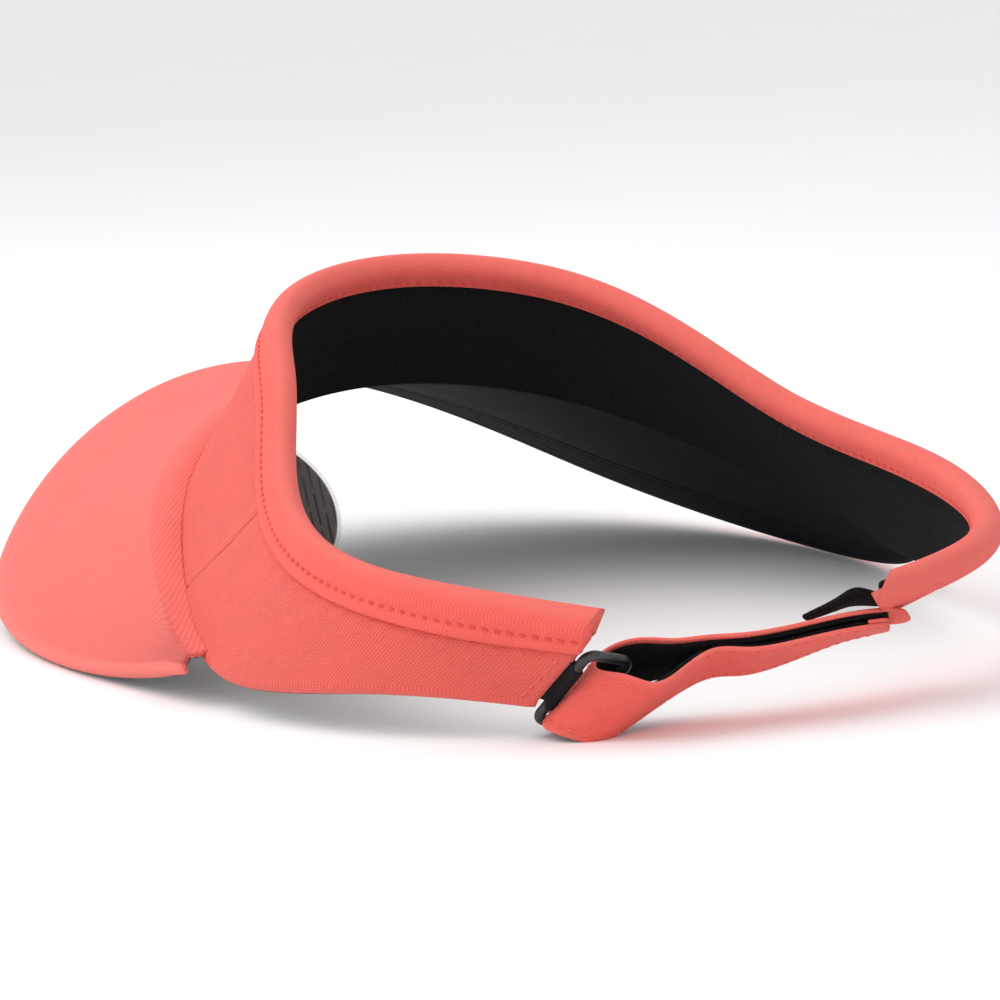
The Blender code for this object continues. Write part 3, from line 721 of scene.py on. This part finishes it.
def makeBrim():
    half = brim["half"]
    grid, normal, across = brimGrid()
    deep = np.linalg.norm(grid[-1] - grid[1], axis=-1)
    out = unit(grid[-1] - grid[-2])
    column = np.arange(grid.shape[1])
    ends = np.clip(np.minimum(column, column[::-1]) / brim["endColumns"], 0, 1)
    thick = half * (0.45 + 0.55 * np.sqrt(ends))
    # the flat face ends where the rolled edge starts
    inset = 1.0 - (thick - brim["past"]) / np.maximum(deep, 3 * half)
    share = across[:, None] * inset[None]
    base = grid[1] + share[..., None] * (grid[-1] - grid[1])[None]
    base[0] = grid[0]
    wave = brim["topWave"] * ripple(base, 30, 2.2) * np.sin(math.pi * across)[:, None]
    fromBand = np.linalg.norm(base - base[1], axis=-1)
    nearBand = brim["swell"] * np.exp(-(fromBand / brim["swellReach"]) ** 2)
    top = base + normal * (thick[None] + wave + nearBand)[..., None]
    station = 6 - np.linspace(-brim["end"], brim["end"], grid.shape[1]) / 25
    climb = band.point(station, brim["climb"] / band.width(station), bandHalf - 0.05)
    corner = band.point(station, np.zeros_like(station), bandHalf + 0.5)
    corner = corner + normal[2] * (thick + brim["lift"])[:, None]
    landing = top[brim["landing"]]
    steps = np.linspace(0, 1, brim["creaseRows"])[:, None, None]
    parts = ((1 - steps) ** 2, 2 * brim["crease"] * steps * (1 - steps), steps ** 2)
    crease = (parts[0] * climb + parts[1] * corner + parts[2] * landing) / sum(parts)
    top = np.concatenate([crease, top[brim["landing"] + 1:]])
    reach = np.concatenate([np.zeros(len(crease)), across[brim["landing"] + 1:]])
    edgeCentre, edgeNormal = base[-1], normal[-1]

    def blunt(a):
        power = brim["blunt"]
        return math.copysign(abs(math.cos(a)) ** power, math.cos(a)), abs(math.sin(a)) ** power

    roll = [edgeCentre + edgeNormal * (thick * blunt(a)[0])[:, None] + out * (thick * blunt(a)[1])[:, None]
            for a in np.radians(np.linspace(12, brim["wrap"], brim["rollRows"]))]
    outer = np.concatenate([top, np.array(roll)])
    facing = gridNormals(outer, np.array([0.0, 0.0, 1.0]))
    inner = outer - facing * brim["topCloth"]
    rub = np.concatenate([np.exp(-(1 - reach) * 30), np.ones(brim["rollRows"])])
    rub = rub[:, None] * np.ones(grid.shape[1])[None]
    piece = closedSheet("brimTop", outer, inner, coralBrimLitCopy, rub)
    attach(piece, "band")
    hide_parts("brim_top_cover")
    # under cover, drawn in along each sewn row
    grooves = sum(np.exp(-((across - row) / brim["grooveWide"]) ** 2) for row in brim["rowsSewn"])
    wave = brim["underWave"] * ripple(base, 22, 8.8) * np.sin(math.pi * across)[:, None]
    under = base - normal * (thick[None] * 0.99 + wave - brim["groove"] * grooves[:, None])[..., None]
    under[0] = base[0] - normal[0] * 1.1
    hem = thick * brim["hem"]
    turnUp = [edgeCentre + edgeNormal * (hem * blunt(a)[0])[:, None] + out * (hem * blunt(a)[1])[:, None]
              for a in np.radians(np.linspace(168, brim["wrap"] - 6, 9))]
    under = np.concatenate([under, np.array(turnUp)])
    belowFacing = gridNormals(under, np.array([0.0, 0.0, -1.0]))
    trim = slice(brim["underInset"], -brim["underInset"])
    above = under - belowFacing * brim["underCloth"]
    cover = closedSheet("brimUnder", under[:, trim], above[:, trim], slateCloth)
    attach(cover, "band")
    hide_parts("brim_under_cover")
    for row in brim["rowsSewn"]:
        k = int(np.argmin(np.abs(across - row)))
        line = under[k, 16:-16]
        sew("bandDark", line, -normal[k, 16:-16], 3.0, 2.2, 0.15, 0.02)


makeBrim()
print("brim made")


# ring and its keeper
ring = {"middle": (44.6, 75.5, 4.6), "bar": (-0.28, 0.60, 0.75), "reach": (-0.953, -0.086, -0.288),
        "long": 18.6, "wide": 9.4, "corner": 1.9, "wire": 2.0, "around": 20}
keeper = {"depth": 0.55, "start": 0.045, "height": 0.36, "cloth": 0.35, "ply": 0.25, "half": 5.2,
          "slack": 0.06}
ringBar = unit(np.array(ring["bar"]))
ringReach = np.array(ring["reach"])
ringReach = unit(ringReach - ringBar * ringReach.dot(ringBar))
ringMiddle = np.array(ring["middle"])


def makeRing():
    line = []
    for corner, (along, far) in enumerate(((-1, 1), (1, 1), (1, 0), (-1, 0))):
        a0 = along * (ring["long"] / 2 - ring["corner"])
        r0 = ring["wide"] - ring["corner"] if far else ring["corner"]
        first = math.radians((180, 90, 0, 270)[corner])
        for step in range(9):
            a = first - math.radians(11.25) * step
            line.append((a0 + ring["corner"] * math.cos(a), r0 + ring["corner"] * math.sin(a)))
    line = np.array(line)
    dense = []
    for here, ahead in zip(line, np.roll(line, -1, axis=0)):
        count = max(1, int(np.linalg.norm(ahead - here) / 0.8))
        dense += [here + (ahead - here) * k / count for k in range(count)]
    dense = np.array(dense)
    ahead = unit(np.roll(dense, -1, axis=0) - np.roll(dense, 1, axis=0))
    normal = np.cross(ringReach, ringBar)
    around = ring["around"]
    points, faces = [], []
    for (a, r), (da, dr) in zip(dense, ahead):
        spot = ringMiddle + ringBar * a + ringReach * r
        side = ringBar * -dr + ringReach * da
        for k in range(around):
            t = 2 * math.pi * k / around
            points.append(spot + (side * math.cos(t) + normal * math.sin(t)) * ring["wire"] / 2)
    count = len(dense)
    for i in range(count):
        for k in range(around):
            j, m = (i + 1) % count, (k + 1) % around
            faces.append((i * around + k, i * around + m, j * around + m, j * around + k))
    points = np.array(points)
    piece = newPiece("buckleRing", points, faces, ringFinish, points, np.zeros(len(points)))
    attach(piece, "ring")
    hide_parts("buckle_ring")


def makeKeeper():
    depth, start, height = keeper["depth"], keeper["start"], keeper["height"]
    cloth, ply, half = keeper["cloth"], keeper["ply"], keeper["half"]
    radius = ring["wire"] / 2 + keeper["slack"] + cloth / 2
    outward = band.point(np.array(0.08), np.array(height)) - band.point(np.array(depth), np.array(height))
    outward = unit(outward - ringBar * outward.dot(ringBar))
    normal = np.cross(outward, ringBar)
    plies = []
    for side in (1, -1):
        high, low = [], []
        for station in np.linspace(depth, start, 4):
            centre = band.point(np.array(station), np.array(height), side * ply)
            rise = unit(band.rise(np.array(station)))
            high.append(centre + rise * half)
            low.append(centre - rise * half)
        plies.append((high, low))
    arcHigh, arcLow = [], []
    for a in np.radians(np.linspace(95, -95, 8)):
        spot = ringMiddle + radius * (outward * math.cos(a) + normal * math.sin(a))
        arcHigh.append(spot + ringBar * half)
        arcLow.append(spot - ringBar * half)
    tape = Strip(plies[0][0] + arcHigh + plies[1][0][::-1], plies[0][1] + arcLow + plies[1][1][::-1])
    piece = flatTape("ringKeeper", tape, 0, len(tape.upper) - 1, 0.5, 0.0, 1.0, 0.0, cloth, blackTape)
    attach(piece, "band")
    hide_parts("ring_keeper")


makeRing()
makeKeeper()
print("ring and keeper made")


# strap: laid stretch, loop through the ring, and the tab that turns back
strap = {
    "laid": ((-18.0, 88.0, 13.4, -26.4, 76.6, 7.0), (-7.4, 90.4, 14.4, -13.5, 77.3, 8.0),
             (3.5, 90.8, 14.0, -2.3, 77.8, 6.5), (13.3, 89.5, 13.4, 8.3, 76.9, 4.8),
             (20.0, 86.6, 13.2, 16.6, 74.6, 4.0)),
    "loop": ((25.0, 83.0, 12.5, 24.8, 71.2, 2.2), (29.6, 79.5, 12.6, 32.4, 68.4, 0.6),
             (34.0, 76.8, 11.4, 38.4, 67.0, -0.8), (38.2, 77.2, 9.4, 42.2, 68.6, -1.8),
             (39.6, 80.8, 8.4, 47.4, 73.1, -2.8), (37.4, 85.4, 8.4, 46.0, 78.2, -3.8),
             (34.2, 88.2, 7.2, 41.2, 80.4, -5.2), (29.6, 89.6, 7.6, 33.2, 79.0, -3.8)),
    "cloth": 0.8, "pile": 0.6, "pileStep": 1.0, "closedStep": 2.9, "split": 12.55, "stitchIn": 0.11,
    "tip": 16.86, "root": -0.34, "corner": 3.0, "rootCorner": 6.5, "margin": 0.06, "rows": 26,
}
laid = Strip([r[:3] for r in strap["laid"]], [r[3:] for r in strap["laid"]])
backRows = [laid.point(np.array([s, s]), np.array([1.0, 0.0]), strap["closedStep"])
            for s in (4.0, 3.0, 2.0, 1.0, 0.0)]
backRows[4][1] += np.array([-0.3, -0.4, 1.7])  # the tab's end turns its edge to the strap
backRows[3][1] += np.array([-0.1, -0.1, 0.4])
wholeStrap = Strip([r[:3] for r in strap["laid"] + strap["loop"]] + [tuple(r[0]) for r in backRows],
                   [r[3:] for r in strap["laid"] + strap["loop"]] + [tuple(r[1]) for r in backRows])
hingeAt = 13.0
blendFrom = onTable(wholeStrap.point(np.array(strap["split"]), np.array(0.5)))
blendTo = onTable(wholeStrap.point(np.array(hingeAt + 0.45), np.array(0.5)))


def strapLines(group, first, last, side, faceOffset):
    stations = wholeStrap.stations(first, last, 0.8)
    for height in (strap["stitchIn"], 1 - strap["stitchIn"]):
        line = wholeStrap.point(stations, np.full_like(stations, height), faceOffset)
        sew(group, line, side * wholeStrap.normal(stations, np.full_like(stations, height)), 2.4, 1.7, 0.17)


def makeStrap():
    cloth, split, tip = strap["cloth"], strap["split"], strap["tip"]
    low, high, rows, corner = strap["margin"], 1 - strap["margin"], strap["rows"], strap["corner"]
    onFace = strap["pileStep"]
    fixed = flatTape("strapCloth", wholeStrap, strap["root"], split + 0.01, 0.9, 0.0, 1.0, 0.0,
                     cloth, coralStrap, across=rows, rootCorner=strap["rootCorner"])
    tab = flatTape("closureTab", wholeStrap, split, tip, 0.9, 0.0, 1.0, 0.0,
                   cloth, coralStrap, across=rows, corner=corner)
    pile = flatTape("strapLoopPile", wholeStrap, 0.1, hingeAt - 0.1, 0.45, low, high, onFace - 0.2,
                    strap["pile"] + 0.2, blackPile, 0.16, 36)
    hook = flatTape("tabHookTape", wholeStrap, hingeAt + 0.1, tip - 0.55, 0.6, low, high, onFace - 0.2,
                    strap["pile"] + 0.1, blackPile, 0.10, 30)
    hem = flatTape("tabTipHem", wholeStrap, tip - 0.50, tip + 0.01, 0.6, 0.0, 1.0, onFace - 0.15,
                   strap["pile"] + 0.15, coralStrap, across=rows, corner=corner)
    for piece, node, slot in ((fixed, "strap_cloth", "coral_strap"), (tab, "closure_tab", "coral_strap"),
                              (pile, "strap_loop_pile", "black_pile"), (hook, "tab_hook_tape", "black_pile"),
                              (hem, "tab_tip_hem", "coral_strap")):
        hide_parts(node)
    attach(fixed, "band")
    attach(pile, "band")
    strapLines("bandCoral", 0.6, split - 0.2, -1, -cloth / 2)
    strapLines("tabCoral", split + 0.2, tip - 0.15, -1, -cloth / 2)
    finishThreads("tabCoral", "tabThread", coralThread, None)
    for piece in (tab, hook, hem, bpy.data.objects["tabThread"]):
        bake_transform(piece)


makeStrap()
print("strap made")


# tongue and size label
tongue = {"cloth": 0.9, "root": (0.80, 0.06), "deeper": (0.15, 0.35, 0.55, 0.55), "higher": 0.08,
          "free": ((-10.7, 88.0, 17.9, -16.6, 78.9, 12.8), (-6.4, 88.3, 16.8, -10.6, 80.9, 13.2),
                   (-1.8, 88.0, 15.2, -4.3, 83.4, 13.1), (0.4, 86.7, 13.9, -1.2, 84.7, 13.0))}
label = {"film": 0.3, "root": 3.52, "half": 15.0, "printed": 0.94, "points": 96,
         "curl": ((54.8, -34.5, 18.0, -0.12, 0.05, 0.99), (49.5, -31.5, 18.0, 0.06, -0.27, 0.96),
                  (42.5, -24.8, 18.0, 0.06, -0.27, 0.96))}


def makeTongue():
    roots = np.linspace(bandEnd - 0.52, bandEnd, 4)
    upper = [band.point(s, tongue["root"][0]) for s in roots]
    lower = [band.point(s, tongue["root"][1]) for s in roots]
    for row, deeper in zip(tongue["free"], tongue["deeper"]):
        top, bottom = np.array(row[:3]), np.array(row[3:])
        upper.append(top + tongue["higher"] * (top - bottom))
        lower.append(bottom + deeper * (bottom - top))
    flap = Strip(upper, lower)
    piece = flatTape("comfortTongue", flap, 0.0, len(upper) - 1.0, 0.8, 0.0, 1.0, 0.0,
                     tongue["cloth"], tongueMesh, 0.05, 24, corner=1.5)
    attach(piece, "band")
    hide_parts("comfort_tongue")


def labelFilm():
    n = Nodes("labelFilm", 0.16, Coat_Weight=0.3, Coat_Roughness=0.1)
    lines = n.add("ShaderNodeTexBrick")
    for key, value in (("Scale", 1.0), ("Brick Width", 7.5), ("Row Height", 1.5), ("Mortar Size", 0.55),
                       ("Color1", (0.012, 0.012, 0.013, 1)), ("Color2", (0.10, 0.095, 0.095, 1)),
                       ("Mortar", (0.20, 0.18, 0.18, 1))):
        lines.inputs[key].default_value = value
    n.join(n.coords(turn=90), lines.inputs["Vector"])
    tone = n.mix(n.between(n.grain(5.0), 0.0, 0.6), lines.outputs["Color"], (0.10, 0.09, 0.09))
    rim = n.rubbed()
    n.colour(n.mix(rim, tone, (0.72, 0.73, 0.74)))
    n.rough(n.between(n.grain(3.0), 0.12, 0.26))
    n.join(n.between(rim, 0.86, 0.22), n.shader.inputs["Alpha"])
    n.bump(n.grain(2.0), 0.00015, 0.5)
    return n.material


def makeLabel():
    root = band.point(np.array([label["root"]] * 2), np.array([0.85, 0.15]), -2.4)
    upper, lower = [root[0]], [root[1]]
    for row in label["curl"]:
        rise = label["half"] * unit(np.array(row[3:]))
        upper.append(np.array(row[:3]) + rise)
        lower.append(np.array(row[:3]) - rise)
    film = Strip(upper, lower)
    angle = np.linspace(0, 2 * math.pi, label["points"] + 1)[:-1]
    shares = np.array([0.02, 0.15, 0.3, 0.45, 0.6, 0.72, 0.82, 0.935, 0.95, 0.975, 0.99, 1.0])
    points, weave, rub, faces = [], [], [], []
    for face in (-1, 1):
        for share in shares:
            half = label["film"] / 2 * (1 if share < 0.99 else 0.5)
            s = 1.5 + 1.5 * share * np.cos(angle)
            h = 0.5 + 0.5 * share * np.sin(angle)
            points.append(film.point(s, h, face * half))
            weave.append(np.stack([s * 8.6, h * 30, np.zeros_like(s)], -1))
            rub.append(np.full(len(angle), 0.0 if share < label["printed"] else 1.0))
    rings, around = len(shares), len(angle)
    for face in (0, 1):
        for k in range(rings - 1):
            for j in range(around):
                m = (j + 1) % around
                a = (face * rings + k) * around
                faces.append((a + j, a + m, a + around + m, a + around + j))
        faces.append(tuple(face * rings * around + j for j in range(around)))
    for j in range(around):
        m = (j + 1) % around
        near, far = (rings - 1) * around, (2 * rings - 1) * around
        faces.append((near + j, near + m, far + m, far + j))
    points, weave, rub = (np.concatenate(x) for x in (points, weave, rub))
    piece = newPiece("sizeLabel", points, faces, labelFilm(), weave, rub)
    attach(piece, "band")
    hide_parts("size_label")


makeTongue()
makeLabel()
print("tongue and label made")


# thread across the ring's end, the strap's end and the seams
def makeThreads():
    for first, last, low, high in ((0.165, 0.043, 0.076, 0.63), (bandEnd - 0.30, bandEnd - 0.30, 0.10, 0.66)):
        heights = np.linspace(low, high, 30)
        stations = np.linspace(first, last, 30)
        sew("bandCoral", band.point(stations, heights, bandHalf), band.normal(stations, heights), 2.3, 1.6)
    finishThreads("bandCoral", "bandThread", coralThread, "band")
    finishThreads("bindingCoral", "bindingThread", bindingThread, "band")
    finishThreads("bandDark", "brimThread", darkThread, "band")


makeThreads()
print("thread made")
for node, material in (("brim_board", boardInner), ("front_stiffener", foamInner),
                       ("left_padding", foamInner), ("right_padding", foamInner)):
    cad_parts[node].data.materials.clear()
    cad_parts[node].data.materials.append(material)

# floor and light
studio = {"floor": (0.97, 0.97, 0.972), "world": 0.86, "key": 9.0, "fill": 1.0, "size": 60.0}


def makeStudio():
    n = Nodes("floorPaper", 0.9)
    n.colour(n.ramp(objectGrain(n, 0.15, 3), ((0.3, shade(studio["floor"], 0.985)), (0.7, studio["floor"]))))
    data = bpy.data.meshes.new("floor")
    size = studio["size"]
    corners = [(x * size, y * size, 0) for x, y in ((-1, -1), (1, -1), (1, 1), (-1, 1))]
    data.from_pydata(corners, [], [(0, 1, 2, 3)])
    data.materials.append(n.material)
    floor = bpy.data.objects.new("floor", data)
    bpy.context.scene.collection.objects.link(floor)
    world = bpy.data.worlds.new("studio")
    bpy.context.scene.world = world
    world.use_nodes = True
    world.node_tree.nodes["Background"].inputs["Color"].default_value = (1, 1, 1, 1)
    world.node_tree.nodes["Background"].inputs["Strength"].default_value = studio["world"]
    for name, spot, aim, size, power in (
        ("key", (0.75, -0.45, 1.0), (0, 0, 0.02), 1.2, studio["key"]),
        ("fill", (0.9, 0.7, 0.5), (0, 0.02, 0.02), 0.8, studio["fill"]),
    ):
        lamp = bpy.data.objects.new(name, bpy.data.lights.new(name, "AREA"))
        lamp.data.size = size
        lamp.data.energy = power
        lamp.location = spot
        lamp.rotation_euler = (Vector(spot) - Vector(aim)).to_track_quat("Z", "Y").to_euler()
        bpy.context.scene.collection.objects.link(lamp)
    bpy.context.scene.view_settings.view_transform = "Standard"


makeStudio()
print("studio set")
